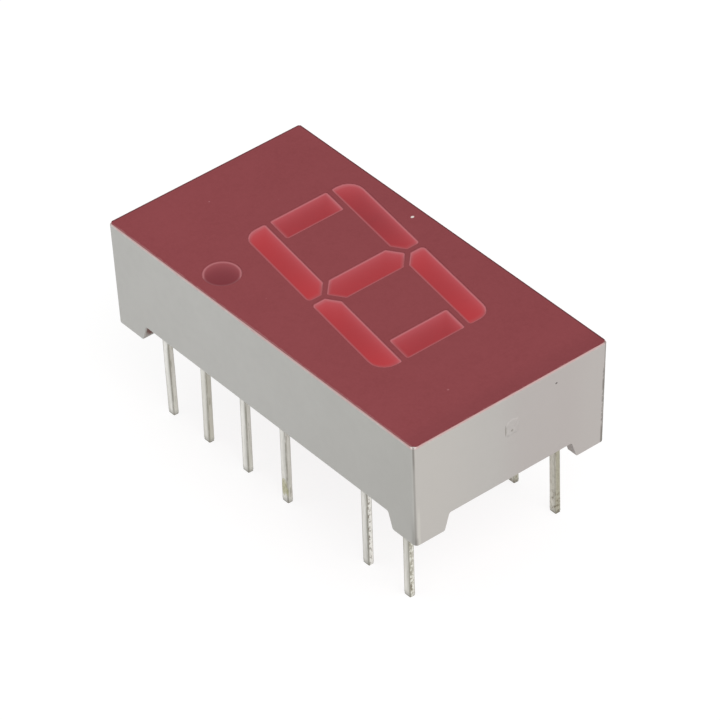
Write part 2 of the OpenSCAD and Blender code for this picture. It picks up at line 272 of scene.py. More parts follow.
class Finish:
    """A material being built: its tree, place coordinates, shader and colour so far. Its
    methods take lengths in millimetres."""

    def __init__(self, name, roughness, metallic=0.0, mirror=0.2):
        self.material = bpy.data.materials.new(name)
        self.tree = empty_tree(self.material)
        self.place = node(self.tree, "TexCoord").outputs["Object"]
        parts = node(self.tree, "SeparateXYZ", {0: self.place}).outputs
        self.x, self.y, self.z = parts
        self.shader = node(self.tree, "BsdfPrincipled", {
            "Roughness": roughness, "Metallic": metallic, "Specular IOR Level": mirror})
        node(self.tree, "OutputMaterial", {"Surface": self.shader})
        self.color = None

    def clouds(self, size, fine=0.35, stretch=PLAIN):
        """Cloudy variation whose patches are about size across."""
        return use(self.tree, CLOUDS, {
            "Vector": self.place, "Stretch": stretch, "Scale": 1.0 / (size * MM), "Fine": fine})

    def specks(self, apart, size, share):
        """Specks in cells apart wide, up to size of a cell across, in a share of the cells."""
        return use(self.tree, SPECKS, {
            "Vector": self.place, "Scale": 1.0 / (apart * MM), "Size": size, "Share": share})

    def stain(self, place, reach, ragged):
        """A ragged blot at a place, reaching so far along X, Y and Z."""
        return use(self.tree, STAIN, {
            "Vector": self.place, "Ragged": ragged,
            "Place": [p * MM for p in place], "Reach": [r * MM for r in reach]})

    def kept(self, label):
        """A number kept in the mesh for every point."""
        return node(self.tree, "Attribute", attribute_name=label).outputs["Fac"]

    def outward(self, axis):
        """How far the surface looks along an axis: one part of its normal, from -1 to 1."""
        normal = node(self.tree, "NewGeometry").outputs["Normal"]
        return node(self.tree, "SeparateXYZ", {0: normal}).outputs[axis]

    def along(self, axis, start, end):
        """0 at start and 1 at end along an axis, with a smooth step between."""
        return fade(getattr(self, axis), start * MM, end * MM)

    def wavering(self, swing):
        """A distance that wanders by swing from patch to patch."""
        return times(calc("SUBTRACT", self.clouds(0.45, 0.4), 0.5), swing * MM)

    def paint(self, mask, pigment, strength=1.0):
        """Lays a pigment over the colour so far, where the mask says and this strong."""
        if strength != 1.0:
            mask = times(mask, strength)
        self.color = blend(mask, self.color, pigment)

    def rough(self, mask, low, high):
        """Roughness that runs from low to high with a mask."""
        spread = node(self.tree, "MapRange", {"Value": mask, "To Min": low, "To Max": high})
        fill(self.shader, {"Roughness": spread})

    def bump(self, height, depth):
        """Surface relief of about this depth from a height between 0 and 1."""
        relief = node(self.tree, "Bump", {"Height": height, "Distance": depth * MM})
        fill(self.shader, {"Normal": relief})

    def done(self):
        """Feeds the colour to the shader and gives the material."""
        fill(self.shader, {"Base Color": self.color})
        return self.material


print("helper for materials: Finish")

# %% [markdown]
# ## Case plastic
# The case is a filled plastic in a light warm grey, with a satin skin and a very fine grain
# from the mould. One flat colour would look like cardboard, so the small differences of a
# real moulding are laid over it. It is cloudy and has aged unevenly to a little pink towards
# -X, and it is darker towards the bottom and from the middle towards +Y. On the +Y end wall
# a painted highlight makes its +X side paler, and painted shade dims its -X half.

# %% Case plastic
CASE_LIGHT = rgb(0.662, 0.665, 0.646)
CASE_DARK = rgb(0.635, 0.637, 0.619)

plastic = Finish("case_plastic", 0.55, mirror=0.1)
cloud = plastic.clouds(2.6, 0.4)
grain = plastic.clouds(0.09, 0.5)
plastic.color = blend(fade(cloud, 0.32, 0.68), CASE_DARK, CASE_LIGHT)
plastic.paint(ramp(plastic.x, HALF_W, -HALF_W), rgb(0.640, 0.580, 0.570), 0.75)
plastic.paint(ramp(plastic.y, -2 * MM, 0.9 * HALF_L), rgb(0.50, 0.495, 0.465), 0.36)
end_wall = fade(plastic.outward("Y"), 0.5, 0.9)
# Painted highlight: the +Y end wall is made paler towards its +X side.
end_wall_highlight = times(end_wall, plastic.along("x", 0, 4.5))
plastic.paint(end_wall_highlight, rgb(0.658, 0.632, 0.598), 0.60)
# Painted shade: the +Y end wall is made dimmer in its -X half.
left_of_middle = plastic.along("x", 1.0, -0.8)
short_of_corner = plastic.along("x", -4.6, -2.6)
end_wall_shade = times(left_of_middle, short_of_corner, end_wall)
plastic.paint(end_wall_shade, rgb(0.53, 0.470, 0.465), 0.30)
low_down = fade(plastic.z, FACE_Z, case_low.z)
plastic.paint(times(low_down, cloud), rgb(0.46, 0.445, 0.42), 0.12)
plastic.rough(grain, 0.46, 0.66)
plastic.bump(grain, 0.0022)
print("case plastic: base made")

# %% [markdown]
# The bevel round the face has a breath of the red coat and a painted highlight where its edge
# catches the light, and the bare rim round each window a pink film of resin. Inside one foot
# resin has run down and dried brown, and painted shade deepens it in that recess. One corner
# of the face is chipped pale, painted shade lies along the +X edge of the gate mark and in a
# spot in its middle, and a few grains of dust lie all over.
# Such marks could be painted on an image. Stains at measured places do it without one, and
# stay sharp however close the view.

# %% Traces on the case
# The bevel gets a breath of the red coat and a painted highlight.
wavy_z = calc("ADD", plastic.z, plastic.wavering(0.10))
bevel_coat_and_highlight = fade(wavy_z, FACE_Z - 0.085 * MM, FACE_Z - 0.030 * MM)
plastic.paint(bevel_coat_and_highlight, rgb(0.585, 0.380, 0.372), 0.80)
top_film = fade(plastic.z, FACE_Z - 0.012 * MM, FACE_Z - 0.004 * MM)
plastic.paint(top_film, rgb(0.44, 0.150, 0.165))
chipped = plastic.stain((4.93, 9.45, 9.24), (0.24, 0.24, 0.07), 0.1)
plastic.paint(chipped, rgb(0.76, 0.70, 0.68))
# Resin run on the inner face of a foot, darkened further as painted shade in that recess.
resin_run_and_shade = plastic.stain((4.40, -7.60, 4.80), (0.75, 0.42, 0.55), 0.9)
inner_face = fade(plastic.x, HALF_W - 0.16 * MM, HALF_W - 0.24 * MM)
plastic.paint(times(resin_run_and_shade, inner_face), rgb(0.22, 0.085, 0.07), 0.85)
# Painted shade: a line along the +X edge of the gate mark and a spot in its middle.
gate_edge_shade = plastic.stain((0.30, 9.5, 7.56), (0.035, 0.4, 0.36), 0.3)
gate_middle_shade = plastic.stain((-0.02, 9.5, 7.43), (0.07, 0.4, 0.07), 0.3)
plastic.paint(calc("MAXIMUM", gate_edge_shade, gate_middle_shade), rgb(0.26, 0.24, 0.21), 0.55)
fleck = plastic.stain((-2.3, 9.49, 8.56), (0.07, 0.3, 0.05), 0.5)
plastic.paint(fleck, rgb(0.10, 0.09, 0.085))
plastic.paint(plastic.specks(1.3, 0.05, 0.16), rgb(0.27, 0.24, 0.21), 0.55)
print("case plastic: traces added")

# %% [markdown]
# The upright corners at the +Y end get thin dark lines; at the +X corner they are painted
# shade where the rounded corner turns from the light. A Pointiness mask would find
# corners too, but only on a finely cut mesh. So the corner is worked out: `away_x`
# and `away_y` measure how far a point lies inside the corner's two planes, which lean in
# towards the foot. Their difference runs from below 0 on the end wall, through 0 on the
# corner itself, to above 0 on the long wall.

# %% Strips along the corners
shell_points = corners_of(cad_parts["reflector_housing"])
sole_points = shell_points[shell_points[:, 2] < case_low.z + 0.001 * MM]
BEVEL_Z = FACE_Z - 0.07 * MM
WALL_SLOPE = (HALF_L - sole_points[:, 1].max()) / (BEVEL_Z - case_low.z)
SKIN_DEPTH = 0.10 * MM
drawn_in = times(calc("SUBTRACT", BEVEL_Z, plastic.z), WALL_SLOPE)
away_y = calc("SUBTRACT", calc("SUBTRACT", HALF_L, drawn_in), plastic.y)


def corner_line(side, low, high, soft):
    """A strip along the upright corner at side * X, +Y: 1 between the runs low and high (mm),
    fading to 0 over a distance soft on each side, and only on the outer skin."""
    across = times(plastic.x, side)
    away_x = calc("SUBTRACT", calc("SUBTRACT", HALF_W, drawn_in), across)
    run = calc("SUBTRACT", away_y, away_x)
    begins = fade(run, (low - soft) * MM, low * MM)
    ends = fade(run, (high + soft) * MM, high * MM)
    skin = calc("LESS_THAN", calc("MINIMUM", away_x, away_y), SKIN_DEPTH)
    return times(begins, ends, skin)


print("wall slope", round(WALL_SLOPE, 4))

# %% [markdown]
# The +X corner has one fine line of painted shade, stronger near the face. At its foot the
# painted shade spreads wider, a painted highlight runs along the edge of the end wall, and
# the very tip is painted dark as shade. The -X corner has a dark hairline, and is chipped in
# its lower part, at one knock halfway and at the foot.

# %% Dirt and painted shade on the upright corners
# DIRT_AND_SHADE serves as painted shade along the corners and as the dark of the chips at -X.
DIRT_AND_SHADE = rgb(0.24, 0.225, 0.205)
CORNER_HIGHLIGHT = rgb(0.72, 0.71, 0.66)
# Strips at the +X foot: a smear of painted shade, a painted highlight, and painted shade at the
# tip.
FOOT_STRIPS = [  # run low, high, soft; height where it starts, is full; pigment, strength
    (0.10, 0.12, 0.20, 6.0, 4.3, DIRT_AND_SHADE, 0.40),
    (-0.22, -0.14, 0.05, 6.4, 5.6, CORNER_HIGHLIGHT, 0.70),
    (-0.10, 0.02, 0.06, 4.7, 4.4, DIRT_AND_SHADE, 0.35),
]

# The +X corner line is painted shade, stronger near the face.
strong = calc("ADD", 0.42, times(plastic.along("z", 7.8, 8.6), 0.30))
plastic.paint(times(corner_line(1, -0.03, 0.04, 0.04), strong), DIRT_AND_SHADE)
for low, high, soft, starts, full, pigment, strength in FOOT_STRIPS:
    at_foot = plastic.along("z", starts, full)
    plastic.paint(times(corner_line(1, low, high, soft), at_foot), pigment, strength)

patches = fade(plastic.clouds(0.50, 0.5), 0.44, 0.58)
lower_part = plastic.along("z", 8.3, 7.7)
knock = plastic.stain((-4.97, 9.45, 7.15), (0.5, 0.5, 0.50), 0.3)
foot_tip = plastic.along("z", 5.3, 4.9)
broken_off = calc("MAXIMUM", knock, foot_tip)
broken_off = calc("MAXIMUM", times(patches, lower_part), broken_off)
plastic.paint(corner_line(-1, -0.13, 0.05, 0.04), DIRT_AND_SHADE, 0.60)
plastic.paint(times(corner_line(-1, -0.19, 0.06, 0.05), broken_off), DIRT_AND_SHADE, 0.80)
CASE_PLASTIC = plastic.done()
print("case plastic: corners done")

# %% [markdown]
# ## Face coat
# The face is printed in a flat red that hides the plastic between the windows. Flat ink
# scatters light evenly, so it needs a high roughness, and what makes it look real is a faint
# unevenness of the layer with a few grains of dust in it.

# %% Face coat
coat = Finish("face_coat", 0.6, mirror=0.06)
cloud = coat.clouds(1.7, 0.45)
grain = coat.clouds(0.11, 0.6)
INK_DARK, INK_LIGHT = rgb(0.250, 0.056, 0.063), rgb(0.272, 0.063, 0.071)
coat.color = blend(fade(cloud, 0.30, 0.70), INK_DARK, INK_LIGHT)
coat.paint(fade(grain, 0.35, 0.75), rgb(0.286, 0.068, 0.077))
dull_dust = coat.specks(0.55, 0.14, 0.10)
coat.paint(dull_dust, rgb(0.46, 0.20, 0.21), 0.7)
pits = coat.specks(0.8, 0.07, 0.08)
coat.paint(pits, rgb(0.13, 0.035, 0.04), 0.5)
white_grain = coat.stain((-4.36, -1.60, 9.27), (0.10, 0.075, 0.2), 0.3)
coat.paint(white_grain, rgb(0.85, 0.78, 0.74))
coat.rough(grain, 0.50, 0.68)
coat.bump(grain, 0.0025)
print("face coat: ink made")

# %% [markdown]
# The ink thins out unevenly along its borders at +X and +Y, where a painted highlight lies
# along the lit edges too, and along those at -X and -Y it has gathered into a dark line. It is
# a little darker at the rubbed +Y end and towards -X.

# %% Borders of the face coat
past_x = calc("SUBTRACT", coat.x, coat_high.x)
past_y = calc("SUBTRACT", coat.y, coat_high.y + 0.03 * MM)
near_side = calc("MAXIMUM", past_x, past_y)
wavy_side = calc("ADD", near_side, coat.wavering(0.16))
# Thinner ink and a painted highlight along the +X and +Y borders.
thin_ink_and_highlight = fade(wavy_side, -0.045 * MM, -0.005 * MM)
coat.paint(thin_ink_and_highlight, rgb(0.44, 0.22, 0.22), 0.50)
coat.paint(coat.along("y", 8.2, 9.4), rgb(0.12, 0.030, 0.036), 0.14)
coat.paint(ramp(coat.x, HALF_W, -HALF_W), rgb(0.10, 0.024, 0.030), 0.07)
short_x = calc("SUBTRACT", coat_low.x, coat.x)
short_y = calc("SUBTRACT", coat_low.y, coat.y)
far_side = calc("MAXIMUM", short_x, short_y)
thick_ink = fade(far_side, -0.075 * MM, -0.045 * MM)
coat.paint(thick_ink, rgb(0.075, 0.025, 0.03), 0.65)
FACE_COAT = coat.done()
print("face coat: borders done")

# %% [markdown]
# ## Resin
# The casting resin is the same red all through. It could be a clear material that lets light
# in, but that is slow and noisy for a body one can hardly see into. The solid that fills the
# case gets a slightly cloudy, satin colour instead. The windows need more, because there the
# light-coloured walls of the wells show through: they get thin pieces of their own below.

# %% Resin body
resin = Finish("resin", 0.3)
cloud = resin.clouds(1.2, 0.4)
ripple = resin.clouds(0.6, 0.2)
RESIN_DARK, RESIN_LIGHT = rgb(0.300, 0.036, 0.042), rgb(0.365, 0.046, 0.052)
resin.color = blend(fade(cloud, 0.3, 0.7), RESIN_DARK, RESIN_LIGHT)
bubbles = resin.specks(0.9, 0.16, 0.12)
resin.paint(bubbles, rgb(0.52, 0.13, 0.13), 0.45)
resin.rough(cloud, 0.22, 0.42)
resin.bump(ripple, 0.006)
RESIN = resin.done()
print("resin made")

# %% [markdown]
# ## Tinned metal
# The leads are stamped from strip and dipped in solder. The flat faces are bright and
# streaked lengthwise, and the sheared edges are duller and a little yellow. They could be
# two materials, but the normal of a face tells them apart within one: on a pin the sheared
# edges face along Y.

# %% Tinned metal
TIN_DARK, TIN_LIGHT = rgb(0.62, 0.61, 0.57), rgb(0.93, 0.92, 0.89)


def tinned_finish(name):
    """The tin of the leads: lengthwise streaks, dull sheared edges and small dark pits.
    Gives the finish, still open for more paint, and the mask of the sheared edges."""
    tin = Finish(name, 0.4, 0.85)
    streaks = tin.clouds(0.16, 0.3, (1.0, 1.0, 0.10))
    tin.color = blend(fade(streaks, 0.28, 0.72), TIN_DARK, TIN_LIGHT)
    tin.paint(tin.clouds(0.8, 0.4), rgb(0.60, 0.60, 0.55), 0.30)
    edge_on = fade(calc("ABSOLUTE", tin.outward("Y")), 0.55, 0.95)
    tin.paint(edge_on, rgb(0.58, 0.57, 0.49), 0.45)
    stripes = fade(tin.clouds(0.12, 0.2, (1.0, 1.0, 0.16)), 0.56, 0.70)
    tin.paint(times(edge_on, stripes), rgb(0.22, 0.19, 0.14), 0.6)
    tin.paint(tin.specks(0.35, 0.20, 0.09), rgb(0.16, 0.13, 0.09), 0.7)
    tin.rough(streaks, 0.30, 0.50)
    tin.bump(streaks, 0.004)
    return tin, edge_on


tin, _ = tinned_finish("tinned_metal")
TINNED = tin.done()
print("tinned metal made")

# %% [markdown]
# ## LED chips and bond wires
# Both are sealed in the resin and only show in a cut or an exploded view. A chip is a sawn
# crystal with a gold contact on top, and a bond wire is drawn gold, so its streaks are fine.

# %% Chips and wires
GOLD = rgb(0.95, 0.72, 0.28)

die = Finish("led_die", 0.35)
saw_marks = die.clouds(0.03, 0.3, (1.0, 1.0, 6.0))
die.color = blend(saw_marks, rgb(0.60, 0.30, 0.07), rgb(0.85, 0.52, 0.17))
die_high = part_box("led_chip_a")[1].z
die_top = fade(die.z, die_high - 0.004 * MM, die_high - 0.001 * MM)
die.paint(times(die_top, die.clouds(0.08, 0.5)), GOLD)
die.rough(saw_marks, 0.25, 0.5)
die.bump(saw_marks, 0.001)
DIE = die.done()

gold = Finish("gold_wire", 0.2, 1.0)
drawn_lines = gold.clouds(0.02, 0.4)
gold.color = blend(drawn_lines, rgb(0.80, 0.55, 0.16), GOLD)
gold.rough(drawn_lines, 0.15, 0.30)
gold.bump(drawn_lines, 0.0005)
GOLD_WIRE = gold.done()
print("die and gold made")

# %% [markdown]
# Each solid already has one material slot. Its finish goes in by name, which keeps the
# solids themselves as they are.

# %% Finishes on the solids
def finish_for(name):
    """The material of a solid, by its name."""
    if name.startswith("led_chip"):
        return DIE
    if name.startswith("bond_wire"):
        return GOLD_WIRE
    if name.endswith("lead") or name.startswith("lead_"):
        return TINNED
    return {"reflector_housing": CASE_PLASTIC, "face_coat": FACE_COAT, "epoxy_fill": RESIN}[name]


for name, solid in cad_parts.items():
    solid.data.materials.clear()
    solid.data.materials.append(finish_for(name))
print("finishes set on", len(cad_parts), "solids")

# %% [markdown]
# ## Making a surface from numbers
# The new pieces are as thin as a film and have to lie on the solids to a hair. Modelling
# them by hand would miss that, so their points are worked out. Each is a closed shell: a
# stack of rings with the same number of points, and one point at each end. numpy works out
# all points at once, and the faces follow from counting.

# %% Shell builder
def shell(name, rings, start, end, values=None):
    """A closed shell through rings (ring, point, xyz), from the point start to the point end.
    Each quad joins points j and j + 1 of ring i to the same points of ring i + 1. values
    gives named numbers for the points, one for each ring point, kept as attributes."""
    m, n, _ = rings.shape
    here = np.arange(n)
    ahead = (here + 1) % n
    base = (np.arange(m - 1) * n)[:, None]
    quads = np.stack([base + here, base + ahead, base + ahead + n, base + here + n], -1)
    quads = quads.reshape(-1, 4)
    first = np.stack([ahead, here, np.full(n, m * n)], -1)
    last = np.stack([(m - 1) * n + here, (m - 1) * n + ahead, np.full(n, m * n + 1)], -1)
    points = np.vstack([rings.reshape(-1, 3), start, end])
    mesh = bpy.data.meshes.new(name)
    mesh.from_pydata(points.tolist(), [], quads.tolist() + first.tolist() + last.tolist())
    triangles = np.vstack([quads[:, :3], quads[:, [0, 2, 3]], first, last])
    corner = points[triangles]
    if np.einsum("ij,ij->i", corner[:, 0], np.cross(corner[:, 1], corner[:, 2])).sum() < 0:
        mesh.flip_normals()
    for label, number in (values or {}).items():
        whole = np.concatenate([number.ravel(), [number[0].mean(), number[-1].mean()]])
        kept = mesh.attributes.new(label, "FLOAT", "POINT")
        kept.data.foreach_set("value", whole.astype(np.float32))
    mesh.polygons.foreach_set("use_smooth", np.ones(len(mesh.polygons), bool))
    return mesh


def piece(name, mesh, material):
    """Puts a mesh into the scene as a piece of the part."""
    made = put(name, mesh)
    mesh.materials.append(material)
    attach(made, "root")
    return made


print("helpers for pieces: shell, piece")

# %% [markdown]
# ## Finding the windows
# The resin solid ends in eight flat windows just under the face. Their outlines could be
# typed in again, but read from the solid they always fit it. Its mesh is loose triangles,
# so corners at the same place are first given one number. Then a label spreads
# from triangle to triangle until each window has its own. The corners of a window are its
# outline, and sorting them by their angle round the middle puts them in order.

# %% Windows in the resin
SAME = 0.0005 * MM


def triangles_of(solid):
    """The triangles of a solid, as rows of three point numbers."""
    solid.data.calc_loop_triangles()
    index = np.empty(len(solid.data.loop_triangles) * 3, np.int32)
    solid.data.loop_triangles.foreach_get("vertices", index)
    return index.reshape(-1, 3)


resin_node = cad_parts["epoxy_fill"]
loose = corners_of(resin_node)
merged, number = np.unique(np.round(loose / SAME).astype(int), axis=0, return_inverse=True)
mouth = np.abs(merged[:, 2] * SAME - resin_high.z) < 0.002 * MM
facets = number.ravel()[triangles_of(resin_node)]
facets = facets[mouth[facets].all(1)]
label = np.arange(len(merged))
for _ in range(len(facets)):
    before = label.copy()
    lowest = label[facets].min(1)
    np.minimum.at(label, facets.ravel(), np.repeat(lowest, 3))
    if (label == before).all():
        break
window_labels = np.unique(label[facets])
print("windows found:", len(window_labels))

# %% [markdown]
# A long side of a window has no points between its corners. For a smooth surface the outline
# is walked again in even steps, and the true corners are kept among them.

# %% Outlines
STEPS = 150


def ordered_outline(points):
    """Points of a convex outline, sorted by angle round their mean."""
    out = points - points.mean(0)
    return points[np.argsort(np.arctan2(out[:, 1], out[:, 0]))]


def resampled(outline):
    """The outline walked in about STEPS even steps, with its own corners kept. An even
    stop that falls close to a corner is left out, because slivers shade badly."""
    closed = np.vstack([outline, outline[:1]])
    side_lengths = np.linalg.norm(np.diff(closed, axis=0), axis=1)
    walked = np.concatenate([[0.0], np.cumsum(side_lengths)])
    even = np.linspace(0, walked[-1], STEPS, endpoint=False)
    clear = np.abs(even[:, None] - walked).min(1) > 0.35 * walked[-1] / STEPS
    stops = np.sort(np.concatenate([walked[:-1], even[clear]]))
    return np.stack([np.interp(stops, walked, closed[:, k]) for k in range(2)], -1)


chip_names = [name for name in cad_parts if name.startswith("led_chip")]
chips = {name: sum(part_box(name), Vector()) / 2 for name in chip_names}
windows = {}
for one in window_labels:
    points = np.unique(merged[label == one][:, :2], axis=0) * SAME
    outline = ordered_outline(points)
    middle = points.min(0) / 2 + points.max(0) / 2
    nearest = min(chips, key=lambda c: math.dist(chips[c][:2], middle))
    windows[nearest.replace("led_chip_", "")] = resampled(outline)
print("outlines:", {name: len(outline) for name, outline in sorted(windows.items())})

# %% [markdown]
# ## The skin of each window
# The resin fills each well to the brim, creeps over the bare plastic round the mouth and
# climbs the cut edge of the red coat. That thin rim lets the pale plastic show through, so
# every window has a fine pink outline. A Bevel on the solid would only round its edge, so
# each window gets a skin of its own, whose points keep four numbers for the material:
# - `edge`, 1 over the thin rim and 0 over the well;
# - `wall`, how thin the resin is in front of the lit wall of the well. The lamp stands over
#   the +X +Y side, so in each well the walls at -X and -Y are lit, and they glow through;
# - `coat`, how far the point lies out on the cut edge of the red coat;
# - `tone`, how bright the bottom of the well shows there.
# For a convex outline the distances are simple: the nearest side that the point meets,
# straight across or along the light, gives the distance.

# %% Window geometry
LIGHT_RUN = np.array([-0.64, -0.77])


def sides_of(outline):
    """Outward normals of the outline's sides and their distances from the origin."""
    step = np.roll(outline, -1, axis=0) - outline
    normal = np.stack([step[:, 1], -step[:, 0]], -1) / np.linalg.norm(step, axis=1)[:, None]
    return normal, np.einsum("ij,ij->i", normal, outline)


def gap_across(points, outline):
    """The shortest distance from each point to a side: min over sides of d - n.p"""
    normal, d = sides_of(outline)
    return (d - points @ normal.T).min(-1)


def gap_along(points, outline, direction):
    """The distance to the outline along a direction s: min of (d - n.p) / (n.s) over the
    sides that face it."""
    normal, d = sides_of(outline)
    facing = normal @ direction
    keep = facing > 0.05
    return ((d - points @ normal.T)[..., keep] / facing[keep]).min(-1)


def drawn_in_by(outline, distance):
    """The outline with every side moved inwards by a distance: a corner moves along the sum
    of its two normals, by distance / (1 + n1.n2) times that sum."""
    after, _ = sides_of(outline)
    before = np.roll(after, 1, axis=0)
    reach = 1.0 + np.einsum("ij,ij->i", before, after)
    return outline - distance * (before + after) / reach[:, None]


print("light runs", LIGHT_RUN, "over the face")

# %% [markdown]
# How bright the bottom of a well shows depends on how the light falls into it. Tracing that
# through clear resin would be slow, so each window has a pair of tones: the one at its
# middle, and how much is added towards its two ends.

# %% Tones of the windows
TONES = {
    "a": (0.23, 0.12), "b": (0.51, 0.41), "c": (0.56, 0.37), "d": (0.23, 0.08),
    "e": (0.0, 0.53), "f": (0.49, 0.37), "g": (0.45, 0.08), "dot": (0.0, 0.0),
}
WALL_FADE = 0.45 * MM
RIM_IN, RIM_OUT = 0.02 * MM, 0.08 * MM
COAT_EDGE = 0.025 * MM


def window_numbers(name, flat, outline, gap):
    """The four numbers at the points flat of a window, whose gap to the outline is given:
    wall = exp(-distance along the light / fade), edge = a smooth step across the rim,
    coat = a straight step outside the outline, tone = middle + more * (way to the end)^1.5"""
    along_light = np.maximum(gap_along(flat, outline, LIGHT_RUN), 0.0)
    across_rim = np.clip((RIM_OUT - gap) / (RIM_OUT - RIM_IN), 0.0, 1.0)
    half = np.ptp(outline, axis=0) / 2
    long_way = int(np.argmax(half))
    from_middle = np.abs(flat[..., long_way] - outline.mean(0)[long_way])
    to_end = np.clip(from_middle / half[long_way], 0.0, 1.0)
    at_middle, more_at_end = TONES[name]
    return {
        "wall": np.exp(-along_light / WALL_FADE),
        "edge": across_rim ** 2 * (3.0 - 2.0 * across_rim),
        "coat": np.clip(-gap / COAT_EDGE, 0.0, 1.0),
        "tone": at_middle + more_at_end * to_end ** 1.5,
    }


print("tones for", len(TONES), "windows")

# %% [markdown]
# The skin's profile runs from the middle of its underside out past the mouth, up the edge of
# the coat, and back in over the top. The outer rings are the outline moved by a distance,
# so the rim has one width all round. The inner rings are scaled towards the middle.

# %% Skins
STEPS_IN = np.array([-0.036, -0.030, -0.018, -0.004, 0.012, 0.03, 0.05]) * MM
INSETS = np.array([0.07, 0.15, 0.24, 0.34, 0.46, 0.60, 0.74, 0.88])
SUNK = 0.012 * MM
PROUD = 0.001 * MM
SWELL, SWELL_FADE = 0.010 * MM, 0.10 * MM
CLIMB, CLIMB_FADE = 0.030 * MM, 0.020 * MM
DISH, DISH_FADE = 0.007 * MM, 0.35 * MM


def window_skin(name, outline, dish):
    """Height over the mouth: swell * (1 - exp(-gap / fade)) over the well, plus
    climb * exp(-distance to the coat / fade) at its edge, less a dish in the middle."""
    middle = outline.mean(0)
    outer = np.stack([drawn_in_by(outline, step) for step in STEPS_IN])
    inner = middle + (outer[-1] - middle) * (1.0 - INSETS)[:, None, None]
    flat = np.concatenate([outer, inner])
    gap = gap_across(flat, outline)
    depth = np.maximum(gap, 0.0)
    height = resin_high.z + PROUD + SWELL * (1.0 - np.exp(-depth / SWELL_FADE))
    height = height + CLIMB * np.exp(-(gap - STEPS_IN[0]) / CLIMB_FADE)
    height = height - dish * (1.0 - np.exp(-(depth / DISH_FADE) ** 2))
    top = np.dstack([flat, height])
    under = np.dstack([flat[:1], np.full((1, len(outline)), resin_high.z - SUNK)])
    values = {
        label: np.concatenate([number[:1], number])
        for label, number in window_numbers(name, flat, outline, gap).items()
    }
    start = [*middle, resin_high.z - SUNK]
    end = [*middle, height[-1].mean()]
    return shell(f"window_skin_{name}", np.concatenate([under, top]), start, end, values)


print("rings in a skin:", 1 + len(STEPS_IN) + len(INSETS))

# %% [markdown]
# The material of the skins mixes its reds by those numbers, so that seven segments share one
# material. The well of the decimal point is narrow and deep, so its red is darker and needs
# a material of its own, and its resin has sunk to a shallow dish.

# %% Window resin
def window_finish(name, deep, full, lit, rim_plain, rim_lit, lit_from, lit_to):
    """Resin over a well: from deep to full by the window's tone, towards lit at the wall, and
    over it the thin rim, brighter where the wall under it is lit."""
    made = Finish(name, 0.42, mirror=0.1)
    wall = made.kept("wall")
    grain = made.clouds(0.12, 0.5)
    made.color = blend(made.kept("tone"), deep, full)
    made.paint(fade(made.clouds(0.9, 0.45), 0.35, 0.75), full, 0.14)
    made.paint(wall, lit, 0.85)
    rim = blend(fade(wall, lit_from, lit_to), rim_plain, rim_lit)
    broken = calc("ADD", 0.70, times(grain, 0.5), clamp=True)
    made.paint(times(made.kept("edge"), broken), rim)
    on_coat = times(made.kept("coat"), fade(wall, 0.35, 0.85))
    made.paint(on_coat, rgb(0.290, 0.072, 0.082))
    made.rough(grain, 0.36, 0.52)
    made.bump(grain, 0.002)
    return made.done()


SEGMENT_RESIN = window_finish(
    "segment_resin", rgb(0.306, 0.035, 0.044), rgb(0.500, 0.042, 0.050), rgb(0.520, 0.104, 0.124),
    rgb(0.420, 0.104, 0.118), rgb(0.525, 0.166, 0.186), 0.35, 0.85)
POINT_RESIN = window_finish(
    "point_resin", rgb(0.186, 0.028, 0.037), rgb(0.186, 0.028, 0.037), rgb(0.385, 0.098, 0.112),
    rgb(0.255, 0.072, 0.083), rgb(0.475, 0.172, 0.188), 0.08, 0.50)

for name, outline in sorted(windows.items()):
    is_point = name == "dot"
    mesh = window_skin(name, outline, DISH if is_point else 0.0)
    piece(mesh.name, mesh, POINT_RESIN if is_point else SEGMENT_RESIN)
    print(mesh.name, len(mesh.polygons), "faces")

# %% [markdown]
# ## Solder on the pins
# The stamped leads have square edges, but the pins were dipped in solder, and liquid metal
# pulls itself round: the coat is thin over the corners, where a darker line is painted, partly
# for the thin coat and partly as painted reflection of the rounded metal corner. A Bevel
# would round every edge alike, while solder is never even. So each coat is a rounded
# rectangle carried down its pin, and the pin's size, place and lean are read from its solid.

# %% Places of the pins
PIN_INNER_X, ROOT_INNER_X = 3.60 * MM, 3.67 * MM
ROOT_LOW, ROOT_HIGH = 4.0 * MM, 5.85 * MM
NEARLY = 0.01 * MM


def slice_box(points, low, high):
    """The middle and the half size, in X and Y, of the points between two heights."""
    inside = points[(points[:, 2] > low) & (points[:, 2] < high), :2]
    lowest, highest = inside.min(0), inside.max(0)
    return (lowest + highest) / 2, (highest - lowest) / 2


def root_box(row):
    """The middle and the half size of a pin just under the resin."""
    return slice_box(row[np.abs(row[:, 0]) > ROOT_INNER_X], ROOT_LOW, ROOT_HIGH)


pins = []
for name in sorted(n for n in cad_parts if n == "anode_lead" or n.startswith("lead_")):
    points = corners_of(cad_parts[name])
    for side in (-1, 1):
        row = points[points[:, 0] * side > PIN_INNER_X]
        if len(row) and row[:, 2].min() < NEARLY:
            pins.append((f"{name}_{'left' if side < 0 else 'right'}", row))
print("pins found:", len(pins))

# %% [markdown]
# A rounded rectangle is a superellipse: cos and sin of an angle, each raised to a small
# power with its sign kept. The angles are bunched a little, so that the points spread evenly
# along the faces. Near a corner both coordinates are near their limits, so the smaller of
# the two says how close to a corner a point lies. The dark line is wider on the +Y faces.

# %% Section of a solder coat
AROUND = 48
POWER = 0.22
BUNCHED = 0.22


def rounded(turn, power):
    """cos and sin of the angles, each raised to a power with its sign kept."""
    waves = np.stack([np.cos(turn), np.sin(turn)])
    return np.sign(waves) * np.abs(waves) ** power


